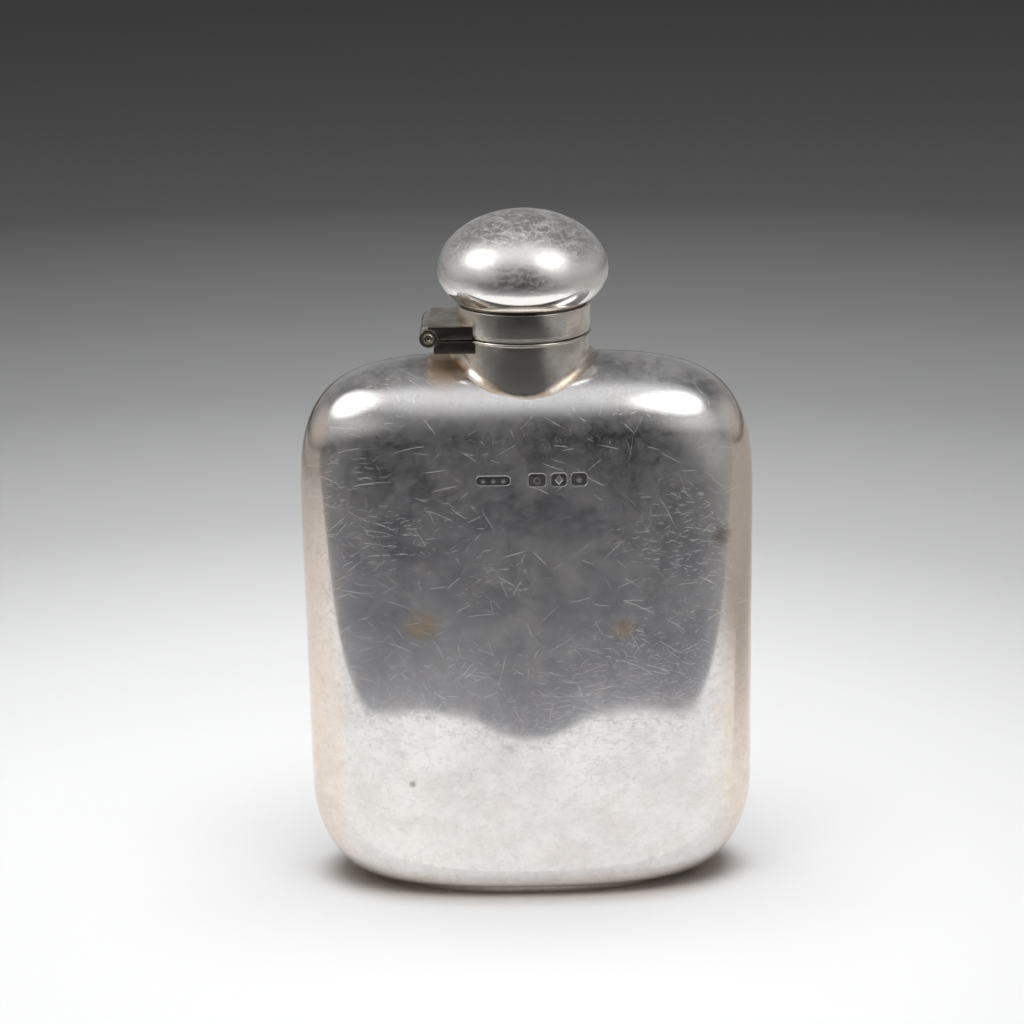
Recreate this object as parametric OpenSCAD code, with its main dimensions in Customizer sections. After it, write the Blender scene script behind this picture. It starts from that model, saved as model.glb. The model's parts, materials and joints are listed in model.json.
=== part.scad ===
// Silver hip flask: pillow-shaped body, short neck, and a hinged collar that carries a quarter-turn cap.
// +Z is up, +X is away from the hinge and -Y is the front. The origin is under the foot, on the neck's axis.

/* [Body] */
// Width of the body
body_w = 83; // [70:0.5:110]
// Depth of the body, front to back
body_d = 30; // [27:0.5:45]
// Height of the top of the shoulder above the ground
shoulder_h = 101.3; // [80:0.1:140]
// Thickness of the sheet that the shells are raised from
sheet_t = 0.8; // [0.5:0.1:1.2]
// Height over which the sides curve in to the shoulder
top_corner_h = 33; // [26:0.5:45]
// Squareness of the upper corners, 2 is elliptical
top_corner_n = 4; // [2.5:0.1:5]
// Height over which the sides curve in to the base
low_corner_h = 18; // [10:0.5:30]
// Squareness of the lower corners
low_corner_n = 2; // [1.6:0.1:3]
// Height over which the front and back roll over to the shoulder
shoulder_roll = 13.5; // [10:0.5:20]
// Height over which the front and back roll under to the base
base_roll = 8; // [5:0.5:15]
// Squareness of the oval plan
plan_n = 2.5; // [2:0.1:3.5]

/* [Base and foot] */
// Width of the flat base
base_w = 60; // [54:0.5:66]
// Depth of the flat base
base_d = 25.6; // [25:0.1:26.6]
// Width of the foot rim
foot_w = 53; // [44:0.5:53.5]
// Depth of the foot rim
foot_d = 24.6; // [22:0.1:24.8]
// Height of the foot rim
foot_h = 1.4; // [0.8:0.1:3]
// Width of the foot rim's wall
foot_wall = 1.4; // [0.8:0.1:2.5]

/* [Neck] */
// Outer radius of the neck
neck_r = 11.8; // [9:0.1:12.5]
// Wall of the neck
neck_wall = 0.9; // [0.5:0.1:1.4]
// How far the neck stands above the top of the shoulder
neck_rise = 4.3; // [3.5:0.1:8]
// How far the neck reaches below the top of the shoulder, inside the body
neck_sink = 7.5; // [5:0.1:12]
// Width of the solder fillet round the foot of the neck
solder_leg = 1.1; // [0.5:0.1:2]
// How far the bead stands out from the neck
bead_proud = 0.35; // [0.2:0.05:0.6]
// Height of the bead
bead_h = 0.7; // [0.5:0.05:1.2]

/* [Spout] */
// How far the spout's bore stands in from the outside of the neck
spout_inset = 5.3; // [5:0.1:7.3]
// Wall of the spout
spout_wall = 0.9; // [0.6:0.1:1.2]
// How far the spout stands above the neck
spout_rise = 4.4; // [4.4:0.1:5]
// How far the deck that carries the spout lies below the top of the neck
deck_drop = 1.3; // [0.8:0.1:3]
// Thickness of the deck
deck_t = 0.9; // [0.6:0.1:1.5]
// Radius of a bayonet stud
stud_r = 0.8; // [0.6:0.05:0.9]
// How far a stud stands out from the spout
stud_reach = 1.4; // [1:0.1:1.5]
// Height of the studs' centres above the neck
stud_rise = 2; // [1.9:0.05:2.1]

/* [Lid collar] */
// How far the lid collar stands out past the neck
collar_proud = 0.3; // [0.1:0.05:0.8]
// Wall of the lid collar
collar_wall = 0.8; // [0.5:0.1:1]
// Height of the lid collar
collar_h = 5.05; // [4.9:0.05:7]
// Thickness of the ledge inside the collar
ledge_t = 0.8; // [0.6:0.1:1.2]
// Height of each fine step at the collar's lower edge
step_h = 0.35; // [0.2:0.05:0.6]
// Depth of each fine step
step_in = 0.12; // [0.05:0.01:0.2]

/* [Cap] */
// Radius of the dome at its widest
dome_r = 15.35; // [14:0.05:18]
// Height of the dome above its widest line
dome_rise = 10.8; // [8:0.1:15]
// Half height of the oval that the dome's underside follows
dome_drop = 8.6; // [7:0.1:11]
// Height of the widest line above the bottom of the cap
dome_lift = 5.7; // [5:0.1:6.5]
// Wall of the dome
dome_wall = 0.7; // [0.4:0.1:1.2]
// Radial room between the spout and the lock sleeve
sleeve_room = 0.7; // [0.7:0.05:0.9]
// Wall of the lock sleeve
sleeve_wall = 0.8; // [0.5:0.05:1]
// How far the retaining ring reaches out from the sleeve
retainer_reach = 1.5; // [1:0.1:1.7]
// Thickness of the retaining ring
retainer_t = 0.7; // [0.4:0.1:0.8]
// Thickness of the cork
cork_t = 2.4; // [1.5:0.1:3]
// Thickness of the plate behind the cork
cork_plate_t = 0.7; // [0.4:0.1:1]
// Turn of the cap from open to locked, in degrees
lock_turn = 90; // [60:5:100]

/* [Hinge] */
// Distance of the hinge pin from the neck's axis
pin_x = 17; // [16:0.1:19]
// Height of the hinge pin above the top of the neck
pin_lift = 0.4; // [0.2:0.05:0.6]
// Length of the hinge
hinge_len = 16; // [12:0.5:18]
// Outer radius of the knuckles
knuckle_r = 1.65; // [1.4:0.05:2]
// Radius of the hinge pin
pin_r = 0.9; // [0.6:0.05:1]
// Thickness of the upper leaf
upper_leaf_t = 2.4; // [2.1:0.05:3]
// Thickness of the lower leaf
lower_leaf_t = 2.3; // [2:0.05:2.6]
// How far the lower leaf stops short of the pin's centre
lower_leaf_set = 0.9; // [0.5:0.1:1.5]

/* [Clearances] */
// Gap between faces that turn past each other
face_gap = 0.15; // [0.1:0.05:0.3]
// Radial running fit of the upper knuckles on the pin
pin_fit = 0.05; // [0.03:0.01:0.1]
// Gap between neighbouring knuckles
knuckle_gap = 0.12; // [0.08:0.01:0.2]
// Gap round a knuckle in the other leaf's groove
groove_gap = 0.2; // [0.15:0.05:0.3]
// Gap round a stud in its slot, and between the retaining ring and the ledge
slot_gap = 0.25; // [0.15:0.05:0.3]
// Gap that solder fills round the neck and the base plate
solder_gap = 0.1; // [0.08:0.01:0.15]

/* [Hidden] */
$fn = 96;

SILVER = [0.80, 0.79, 0.77];
DARK_SILVER = [0.56, 0.55, 0.53];
GILT = [0.80, 0.68, 0.42];
CORK = [0.68, 0.50, 0.32];

// Heights
neck_top = shoulder_h + neck_rise;
deck_z = neck_top - deck_drop;
spout_top = neck_top + spout_rise;
stud_z = neck_top + stud_rise;
collar_z = neck_top + face_gap;
collar_top = collar_z + collar_h;
ledge_z = collar_top - ledge_t;
cap_z = collar_top + face_gap;
dome_z = cap_z + dome_lift;
retainer_z = ledge_z - slot_gap - retainer_t;
cork_z = spout_top + face_gap;
cork_plate_z = cork_z + cork_t;
sleeve_top = cork_plate_z + cork_plate_t;
pin_z = neck_top + pin_lift;

// Radii
neck_bore_r = neck_r - neck_wall;
neck_hole_r = neck_r + solder_gap;
bead_r = neck_r + bead_proud;
spout_bore_r = neck_r - spout_inset;
spout_r = spout_bore_r + spout_wall;
stud_end_r = spout_r + stud_reach;
sleeve_bore_r = spout_r + sleeve_room;
sleeve_r = sleeve_bore_r + sleeve_wall;
collar_r = neck_r + collar_proud;
collar_bore_r = collar_r - collar_wall;
ledge_bore_r = sleeve_r + slot_gap;

// Slots in the lock sleeve
slot_half = stud_r + slot_gap;
slot_turn = asin(slot_half / sleeve_bore_r);

// Knuckles: five in a row, the lid's at the ends and in the middle
KNUCKLES = 5;
knuckle_pitch = (hinge_len + knuckle_gap) / KNUCKLES;
knuckle_len = knuckle_pitch - knuckle_gap;
UPPER = [0, 2, 4];
LOWER = [1, 3];

// Mesh of a shell: columns from side to side, rows from the base to the neck
COLUMNS = 36;
COLUMN_CROWDING = 1.5;         // more than 1 brings the columns closer together in front of the neck
ROWS = 28;
OVAL_POINTS = 72;
FILLET_POINTS = 72;
SEARCH_STEPS = 22;
ARC_STEP = 6;

// ---- the body's surface --------------------------------------------------------------------------------

// Quarter of a squared-off ellipse: 1 at t = 0 and 0 at t = 1
function corner(t, n) = pow(max(0, 1 - pow(max(0, t), n)), 1 / n);

// Sine or cosine drawn out towards a rounded square
function squared(s) = sign(s) * pow(abs(s), 2 / plan_n);

// Half width of the body at a height, for the surface that lies `inset` inside the outer one
function half_w(z, inset) = let (
        side = body_w / 2 - inset,
        up = (z - shoulder_h + top_corner_h) / (top_corner_h - inset),
        down = (foot_h + low_corner_h - z) / (low_corner_h - inset))
    up > 0 ? side * corner(up, top_corner_n)
    : base_w / 2 + (side - base_w / 2) * corner(down, low_corner_n);

// Half depth of the body at a height
function half_d(z, inset) = let (
        side = body_d / 2 - inset,
        up = (z - shoulder_h + shoulder_roll) / (shoulder_roll - inset),
        down = (foot_h + base_roll - z) / (base_roll - inset))
    up > 0 ? side * corner(up, 2)
    : base_d / 2 + (side - base_d / 2) * corner(down, 2);

function wall_point(turn, z, inset) =
    [half_w(z, inset) * squared(cos(turn)), half_d(z, inset) * squared(sin(turn)), z];

function reach(p) = norm([p[0], p[1]]);

// Height at which the column at `turn` comes in to radius r, found by halving
function height_at_radius(turn, r, inset, low, high, steps) = let (mid = (low + high) / 2)
    steps == 0 ? mid
    : reach(wall_point(turn, mid, inset)) > r ? height_at_radius(turn, r, inset, mid, high, steps - 1)
    : height_at_radius(turn, r, inset, low, mid, steps - 1);

// Height of the shoulder's outer surface over a place on the plan, found by halving
function inside_plan(x, y, z) = pow(abs(x) / max(half_w(z, 0), 0.001), plan_n)
    + pow(abs(y) / max(half_d(z, 0), 0.001), plan_n) < 1;
function shoulder_z(x, y, low, high, steps) = let (mid = (low + high) / 2)
    steps == 0 ? mid
    : inside_plan(x, y, mid) ? shoulder_z(x, y, mid, high, steps - 1)
    : shoulder_z(x, y, low, mid, steps - 1);
function shoulder_at(r, turn) =
    shoulder_z(r * cos(turn), r * sin(turn), shoulder_h - shoulder_roll, shoulder_h, SEARCH_STEPS);

// One face of a shell: columns round half the plan, rows closer together at the base and at the neck
function column_turn(start, i) = let (across = 2 * i / COLUMNS - 1)
    start + 90 + 90 * sign(across) * pow(abs(across), COLUMN_CROWDING);
function shell_grid(start, inset) = [
    for (i = [0 : COLUMNS]) let (
            turn = column_turn(start, i),
            low = foot_h + inset,
            high = height_at_radius(turn, neck_hole_r, inset, shoulder_h - shoulder_roll,
                                    shoulder_h - inset, SEARCH_STEPS))
        for (j = [0 : ROWS])
            wall_point(turn, low + (high - low) * (1 - cos(180 * j / ROWS)) / 2, inset)];

function at(i, j) = i * (ROWS + 1) + j;

// Two triangles over the quad a, b, c, d
function quad(a, b, c, d) = [[a, b, c], [a, c, d]];
function joined(lists) = [for (list = lists) for (item = list) item];

// ---- simple shapes -------------------------------------------------------------------------------------

// Oval outline with the body's squareness
module oval(w, d) {
    polygon([for (i = [0 : OVAL_POINTS - 1]) let (turn = 360 * i / OVAL_POINTS)
        [w / 2 * squared(cos(turn)), d / 2 * squared(sin(turn))]]);
}

module ring(r_in, r_out, z, h) {
    translate([0, 0, z])
        difference() {
            cylinder(r = r_out, h = h);
            translate([0, 0, -1])
                cylinder(r = r_in, h = h + 2);
        }
}

// A cylinder along the hinge line, from y0 to y1
module along_hinge(r, y0, y1) {
    translate([-pin_x, y1, pin_z])
        rotate([90, 0, 0])
            cylinder(r = r, h = y1 - y0);
}

// Points along a quarter oval from turn a to turn b
function arc(rx, rz, a, b) = let (count = ceil(abs(b - a) / ARC_STEP))
    [for (i = [0 : count]) let (turn = a + (b - a) * i / count) [rx * cos(turn), dome_z + rz * sin(turn)]];

// ---- body ----------------------------------------------------------------------------------------------

// Half of the body: start is 180 for the front and 0 for the back
module half_shell(start) {
    outer = shell_grid(start, 0);
    inner = shell_grid(start, sheet_t);
    n = len(outer);
    skin = joined([for (i = [0 : COLUMNS - 1]) for (j = [0 : ROWS - 1]) joined([
        quad(at(i, j), at(i, j + 1), at(i + 1, j + 1), at(i + 1, j)),
        quad(n + at(i, j), n + at(i + 1, j), n + at(i + 1, j + 1), n + at(i, j + 1))])]);
    sides = joined([for (j = [0 : ROWS - 1]) joined([
        quad(at(0, j), n + at(0, j), n + at(0, j + 1), at(0, j + 1)),
        quad(at(COLUMNS, j), at(COLUMNS, j + 1), n + at(COLUMNS, j + 1), n + at(COLUMNS, j))])]);
    ends = joined([for (i = [0 : COLUMNS - 1]) joined([
        quad(at(i, 0), at(i + 1, 0), n + at(i + 1, 0), n + at(i, 0)),
        quad(at(i, ROWS), n + at(i, ROWS), n + at(i + 1, ROWS), at(i + 1, ROWS))])]);
    polyhedron(concat(outer, inner), concat(skin, sides, ends), convexity = 6);
}

module front_shell() {
    color(SILVER) half_shell(180);
}

module back_shell() {
    color(SILVER) half_shell(0);
}

// Flat plate let into the opening at the bottom of the shells
module base_plate() {
    color(SILVER)
        translate([0, 0, foot_h])
            linear_extrude(sheet_t)
                oval(base_w - 2 * solder_gap, base_d - 2 * solder_gap);
}

module foot_rim() {
    color(SILVER)
        linear_extrude(foot_h)
            difference() {
                oval(foot_w, foot_d);
                oval(foot_w - 2 * foot_wall, foot_d - 2 * foot_wall);
            }
}

// ---- neck and spout ------------------------------------------------------------------------------------

module neck_collar() {
    color(SILVER) ring(neck_bore_r, neck_r, shoulder_h - neck_sink, neck_sink + neck_rise);
}

// Fillet with a hollow face that follows the saddle where the neck meets the shoulder
module neck_solder() {
    hollow = 0.35;
    points = [for (i = [0 : FILLET_POINTS - 1]) let (
            turn = 360 * i / FILLET_POINTS,
            side = [cos(turn), sin(turn)],
            r0 = neck_r + solder_gap / 4,
            r1 = neck_r + solder_leg,
            rm = r0 + solder_leg * hollow,
            z0 = shoulder_at(neck_hole_r, turn),
            z1 = shoulder_at(r1, turn))
        for (p = [[r0, z0 + solder_gap], [r1, z1 + solder_gap],
                  [rm, shoulder_at(rm, turn) + solder_leg * hollow], [r0, z0 + solder_leg]])
            [p[0] * side[0], p[0] * side[1], p[1]]];
    corners = 4;
    faces = joined([for (i = [0 : FILLET_POINTS - 1]) for (k = [0 : corners - 1]) let (
            next = (i + 1) % FILLET_POINTS,
            m = (k + 1) % corners)
        quad(i * corners + k, i * corners + m, next * corners + m, next * corners + k)]);
    color(SILVER) polyhedron(points, faces, convexity = 4);
}

// Half-round bead round the top of the neck
module neck_bead() {
    color(SILVER)
        translate([0, 0, neck_top - bead_h])
            rotate_extrude()
                polygon(concat([[neck_r, bead_h], [neck_r, 0]],
                    [for (turn = [-75 : 15 : 75])
                        [neck_r + bead_proud * cos(turn), bead_h / 2 * (1 + sin(turn) / sin(80))]]));
}

module spout_deck() {
    color(GILT) ring(spout_r, neck_bore_r, deck_z - deck_t, deck_t);
}

module spout() {
    color(GILT) ring(spout_bore_r, spout_r, deck_z - deck_t, spout_top - deck_z + deck_t);
}

// Two studs, towards the hinge and away from it
module bayonet_studs() {
    color(SILVER)
        for (side = [0, 180])
            rotate([0, 0, side])
                difference() {
                    translate([0, 0, stud_z])
                        rotate([0, 90, 0])
                            cylinder(r = stud_r, h = stud_end_r);
                    translate([0, 0, stud_z - stud_r - 1])
                        cylinder(r = spout_r, h = 2 * stud_r + 2);
                }
}

// ---- hinge ---------------------------------------------------------------------------------------------

// The stretch of the hinge line that a knuckle fills, grown at both ends by `grow`
module knuckle_stretch(k, r, grow) {
    low = -hinge_len / 2 + k * knuckle_pitch;
    along_hinge(r, low - grow, low + knuckle_len + grow);
}

module knuckles(places, bore_r) {
    difference() {
        for (k = places)
            knuckle_stretch(k, knuckle_r, 0);
        along_hinge(bore_r, -hinge_len, hinge_len);
    }
}

// A leaf's block with grooves: snug for its own knuckles and open for the other leaf's
module leaf(x_out, z, t, own, other, r_in) {
    difference() {
        translate([-pin_x + x_out, -hinge_len / 2, z])
            cube([pin_x - x_out, hinge_len, t]);
        translate([0, 0, z - 1])
            cylinder(r = r_in, h = t + 2);
        for (k = own)
            knuckle_stretch(k, knuckle_r, knuckle_gap);
        for (k = other)
            knuckle_stretch(k, knuckle_r + groove_gap, knuckle_gap);
    }
}

module hinge_lower_leaf() {
    color(DARK_SILVER)
        difference() {
            leaf(lower_leaf_set, neck_top - face_gap - lower_leaf_t, lower_leaf_t, LOWER, UPPER, neck_r);
            translate([0, 0, neck_top - bead_h])
                cylinder(r = bead_r, h = 2);
        }
}

module hinge_lower_knuckles() {
    color(DARK_SILVER) knuckles(LOWER, pin_r);
}

module hinge_pin() {
    color(SILVER) along_hinge(pin_r, -hinge_len / 2, hinge_len / 2);
}

module hinge_upper_leaf() {
    color(DARK_SILVER) leaf(0, collar_z, upper_leaf_t, UPPER, LOWER, collar_r);
}

module hinge_upper_knuckles() {
    color(DARK_SILVER) knuckles(UPPER, pin_r + pin_fit);
}

// ---- lid collar ----------------------------------------------------------------------------------------

// Plain ring with two fine steps at its lower edge
module lid_collar() {
    color(SILVER)
        translate([0, 0, collar_z])
            rotate_extrude()
                polygon([[collar_bore_r, 0], [collar_r, 0], [collar_r, step_h], [collar_r - step_in, step_h],
                         [collar_r - step_in, 2 * step_h], [collar_r, 2 * step_h], [collar_r, collar_h],
                         [collar_bore_r, collar_h]]);
}

// Ring inside the top of the collar, which the cap turns in
module collar_ledge() {
    color(SILVER) ring(ledge_bore_r, collar_bore_r, ledge_z, ledge_t);
}

// ---- cap -----------------------------------------------------------------------------------------------

module dome_top() {
    color(SILVER)
        rotate_extrude()
            polygon(concat(arc(dome_r, dome_rise, 0, 90),
                           arc(dome_r - dome_wall, dome_rise - dome_wall, 90, 0)));
}

// Lower half of the dome, with a flat floor turned in to the sleeve
module dome_underside() {
    low_out = -asin(dome_lift / dome_drop);
    low_in = -asin((dome_lift - dome_wall) / (dome_drop - dome_wall));
    color(SILVER)
        rotate_extrude()
            polygon(concat([[sleeve_r, cap_z + dome_wall], [sleeve_r, cap_z]],
                           arc(dome_r, dome_drop, low_out, 0),
                           arc(dome_r - dome_wall, dome_drop - dome_wall, 0, low_in)));
}

// Tube with two slots: each lets a stud in from below and then runs round under a ledge
module lock_sleeve() {
    color(SILVER)
        difference() {
            ring(sleeve_bore_r, sleeve_r, collar_z, sleeve_top - collar_z);
            for (side = [0, 180])
                rotate([0, 0, side]) {
                    translate([0, -slot_half, collar_z - 1])
                        cube([sleeve_r + 1, 2 * slot_half, stud_z + slot_half - collar_z + 1]);
                    translate([0, 0, stud_z - slot_half])
                        rotate_extrude(angle = lock_turn + slot_turn)
                            square([sleeve_r + 1, 2 * slot_half]);
                }
        }
}

module retaining_ring() {
    color(SILVER) ring(sleeve_r, sleeve_r + retainer_reach, retainer_z, retainer_t);
}

module cork_plate() {
    color(SILVER)
        translate([0, 0, cork_plate_z])
            cylinder(r = sleeve_bore_r, h = cork_plate_t);
}

module cork_disc() {
    color(CORK)
        translate([0, 0, cork_z])
            cylinder(r = sleeve_bore_r, h = cork_t);
}

front_shell();
back_shell();
base_plate();
foot_rim();
neck_collar();
neck_solder();
neck_bead();
spout_deck();
spout();
bayonet_studs();
hinge_lower_leaf();
hinge_lower_knuckles();
hinge_pin();
lid_collar();
collar_ledge();
hinge_upper_leaf();
hinge_upper_knuckles();
dome_top();
dome_underside();
lock_sleeve();
retaining_ring();
cork_plate();
cork_disc();
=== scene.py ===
import json
import math

import bpy
from mathutils import Matrix, Vector

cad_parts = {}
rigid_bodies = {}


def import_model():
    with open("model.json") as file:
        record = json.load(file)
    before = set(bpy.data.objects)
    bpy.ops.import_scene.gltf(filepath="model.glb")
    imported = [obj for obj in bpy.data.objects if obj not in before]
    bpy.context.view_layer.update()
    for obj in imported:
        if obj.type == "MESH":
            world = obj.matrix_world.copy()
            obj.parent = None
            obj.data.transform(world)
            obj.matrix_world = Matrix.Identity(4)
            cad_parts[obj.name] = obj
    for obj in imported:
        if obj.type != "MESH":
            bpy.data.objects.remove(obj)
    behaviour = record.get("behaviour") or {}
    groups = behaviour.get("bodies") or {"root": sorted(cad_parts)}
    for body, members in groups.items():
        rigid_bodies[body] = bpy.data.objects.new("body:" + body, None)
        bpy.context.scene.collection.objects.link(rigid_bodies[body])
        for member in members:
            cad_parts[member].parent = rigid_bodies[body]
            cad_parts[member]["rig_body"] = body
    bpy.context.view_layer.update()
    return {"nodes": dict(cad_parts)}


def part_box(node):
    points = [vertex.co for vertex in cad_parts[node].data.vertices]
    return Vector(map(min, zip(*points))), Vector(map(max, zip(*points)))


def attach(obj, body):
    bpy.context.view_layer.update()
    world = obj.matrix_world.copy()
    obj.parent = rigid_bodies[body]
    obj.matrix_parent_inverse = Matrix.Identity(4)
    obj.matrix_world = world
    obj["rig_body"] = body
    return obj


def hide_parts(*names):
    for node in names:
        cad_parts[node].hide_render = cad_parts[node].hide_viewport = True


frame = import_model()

MM = 0.001

# Sizes of the flask in millimetres, as the CAD part has them
BODY_W, BODY_D = 83.0, 30.0
SHOULDER_H, SHEET = 101.3, 0.8
TOP_CORNER, LOW_CORNER = 33.0, 18.0
SHOULDER_ROLL, BASE_ROLL = 13.5, 8.0
BASE_W, BASE_D = 60.0, 25.6
FOOT_H = 1.4
NECK_R, NECK_WALL, NECK_TOP = 11.8, 0.9, 105.6
NECK_HOLE = 11.9
SPOUT_R, SPOUT_BORE_R = 7.4, 6.5
COLLAR_R, COLLAR_Z0, COLLAR_Z1 = 12.1, 105.75, 110.8
DOME_R, DOME_Z, DOME_RISE, DOME_DROP, CAP_Z = 15.35, 116.65, 10.8, 8.6, 110.95
PIN_X, PIN_Z, HINGE_LEN, KNUCKLE_R, PIN_R = 17.0, 106.0, 16.0, 1.65, 0.9


# ---- shader tools ----------------------------------------------------------------------------------------

class Value:
    """A number that changes over a surface: arithmetic on it adds Math nodes."""

    def __init__(self, finish, socket):
        self.finish, self.socket = finish, socket

    def _math(self, operation, *terms):
        return self.finish.node("ShaderNodeMath", {"operation": operation},
                                dict(enumerate(terms))).value()

    def __add__(self, other): return self._math("ADD", self, other)
    def __radd__(self, other): return self._math("ADD", other, self)
    def __sub__(self, other): return self._math("SUBTRACT", self, other)
    def __rsub__(self, other): return self._math("SUBTRACT", other, self)
    def __mul__(self, other): return self._math("MULTIPLY", self, other)
    def __rmul__(self, other): return self._math("MULTIPLY", other, self)
    def __truediv__(self, other): return self._math("DIVIDE", self, other)
    def __pow__(self, other): return self._math("POWER", self, other)
    def __abs__(self): return self._math("ABSOLUTE", self)
    def __lt__(self, other): return self._math("LESS_THAN", self, other)
    def most(self, other): return self._math("MAXIMUM", self, other)

    def clamp(self):
        return self.finish.node("ShaderNodeClamp", {}, {"Value": self}).value()

    def rise(self, low, high):
        """0 below low, 1 above high, smooth between; a low above high falls instead."""
        return self.finish.node("ShaderNodeMapRange", {"interpolation_type": "SMOOTHSTEP"},
                                {"Value": self, "From Min": low, "From Max": high}).value()


class Added:
    """A node that a finish has added, with its outputs by name or number."""

    def __init__(self, finish, made):
        self.finish, self.made = finish, made

    def value(self, name=0):
        return Value(self.finish, self.made.outputs[name])

    def out(self, name=0):
        return self.made.outputs[name]


class Finish:
    """A material and the nodes that make it."""

    def __init__(self, name):
        self.material = bpy.data.materials.new(name)
        self.material.use_nodes = True
        self.tree = self.material.node_tree
        self.tree.nodes.clear()
        self.end = self.tree.nodes.new("ShaderNodeOutputMaterial")
        self.place = self.node("ShaderNodeTexCoord", {}, {}).out("Object")

    def node(self, kind, settings, sockets):
        made = self.tree.nodes.new(kind)
        for key, what in settings.items():
            if key == "stops":
                ramp = made.color_ramp
                while len(ramp.elements) < len(what):
                    ramp.elements.new(0.5)
                for stop, (at, colour) in zip(ramp.elements, what):
                    stop.position = at
                    stop.color = (*colour, 1) if len(colour) == 3 else colour
            else:
                setattr(made, key, what)
        for key, what in sockets.items():
            if isinstance(what, Value):
                what = what.socket
            if isinstance(what, bpy.types.NodeSocket):
                self.tree.links.new(what, made.inputs[key])
            else:
                made.inputs[key].default_value = what
        return Added(self, made)

    def xyz(self, vector=None):
        parts = self.node("ShaderNodeSeparateXYZ", {}, {0: vector or self.place})
        return parts.value(0), parts.value(1), parts.value(2)

    def vector(self, operation, *terms):
        return self.node("ShaderNodeVectorMath", {"operation": operation}, dict(enumerate(terms))).out()

    def noise(self, scale, detail=3.0, rough=0.5, stretch=(1, 1, 1), offset=(0, 0, 0), warp=0.0):
        where = self.node("ShaderNodeMapping", {}, {"Vector": self.place, "Scale": stretch,
                                                     "Location": offset}).out()
        return self.node("ShaderNodeTexNoise", {}, {"Vector": where, "Scale": scale, "Detail": detail,
                                                     "Roughness": rough, "Distortion": warp}).value("Fac")

    def blend(self, share, first, second):
        return self.node("ShaderNodeMix", {"data_type": "RGBA"},
                         {0: share, 6: first, 7: second}).out(2)

    def scratches(self, spacing, length, width, share, seed, along=None):
        """Fine straight scratches, one to a cell of a jittered grid: 1 on a scratch and 0 off it."""
        x, y, z = self.xyz()
        flat = self.node("ShaderNodeCombineXYZ", {}, {0: x + y * 0.37 + seed * MM * 7.3,
                                                       1: z + y * 0.43 - seed * MM * 3.1}).out()
        cell = self.node("ShaderNodeTexVoronoi", {"feature": "F1", "voronoi_dimensions": "2D"},
                         {"Vector": flat, "Scale": 1 / spacing, "Randomness": 0.9})
        red, green, blue = self.xyz(cell.out("Color"))
        u, v, _ = self.xyz(self.vector("SUBTRACT", flat, cell.out("Position")))
        turn = red * 6.283 if along is None else red * along[1] + along[0]
        cosine, sine = turn._math("COSINE", turn), turn._math("SINE", turn)
        bow = u * cosine + v * sine
        across = abs(v * cosine - u * sine + bow * bow * (green - 0.5) * 60)
        inside = ((green * 0.75 + 0.25) * (length / 2) - abs(bow)).rise(0, length * 0.25)
        return inside * across.rise(width, width * 0.35) * (blue < share) * (green * 0.6 + 0.4)

    def surface(self, colour, roughness, metallic=1.0, bump=None, depth=0.0):
        shader = self.node("ShaderNodeBsdfPrincipled", {}, {"Base Color": colour, "Roughness": roughness,
                                                              "Metallic": metallic})
        if bump is not None:
            normal = self.node("ShaderNodeBump", {}, {"Strength": 1.0, "Distance": depth, "Height": bump})
            self.tree.links.new(normal.out("Normal"), shader.made.inputs["Normal"])
        self.tree.links.new(shader.out(), self.end.inputs["Surface"])
        return self.material


def rgb(*eight_bit):
    """Linear colour of a paint-box colour given 0 to 255."""
    shares = [each / 255 for each in eight_bit]
    return tuple(c / 12.92 if c <= 0.04045 else ((c + 0.055) / 1.055) ** 2.4 for c in shares) + (1.0,)


# ---- modelling tools -------------------------------------------------------------------------------------

def let_go():
    if bpy.context.object and bpy.context.object.mode == "EDIT":
        bpy.ops.object.mode_set(mode="OBJECT")
    bpy.ops.object.select_all(action="DESELECT")


def named(name):
    piece = bpy.context.object
    piece.name = piece.data.name = name
    return piece


def hold(piece):
    """Selects one piece alone and makes it the active one."""
    let_go()
    piece.select_set(True)
    bpy.context.view_layer.objects.active = piece
    return piece


def edit(piece):
    hold(piece)
    bpy.ops.object.mode_set(mode="EDIT")
    bpy.ops.mesh.select_all(action="SELECT")


def closed(merge=0.00001):
    """Merges doubles, drops edges that no face uses and turns the faces outwards, in edit mode."""
    bpy.ops.mesh.select_all(action="SELECT")
    bpy.ops.mesh.remove_doubles(threshold=merge)
    bpy.ops.mesh.delete_loose(use_verts=True, use_edges=True, use_faces=False)
    bpy.ops.mesh.select_all(action="SELECT")
    bpy.ops.mesh.normals_make_consistent(inside=False)


def modify(piece, kind, **settings):
    hold(piece)
    made = piece.modifiers.new(kind.title(), kind)
    for key, what in settings.items():
        setattr(made, key, what)
    bpy.ops.object.modifier_apply(modifier=made.name)
    return piece


def smooth(piece, angle=30):
    hold(piece)
    bpy.ops.object.shade_smooth_by_angle(angle=math.radians(angle))
    return piece


def settle(piece):
    """Moves the piece's place and turn into its mesh."""
    hold(piece)
    bpy.ops.object.transform_apply(location=True, rotation=True, scale=True)
    return piece


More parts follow.
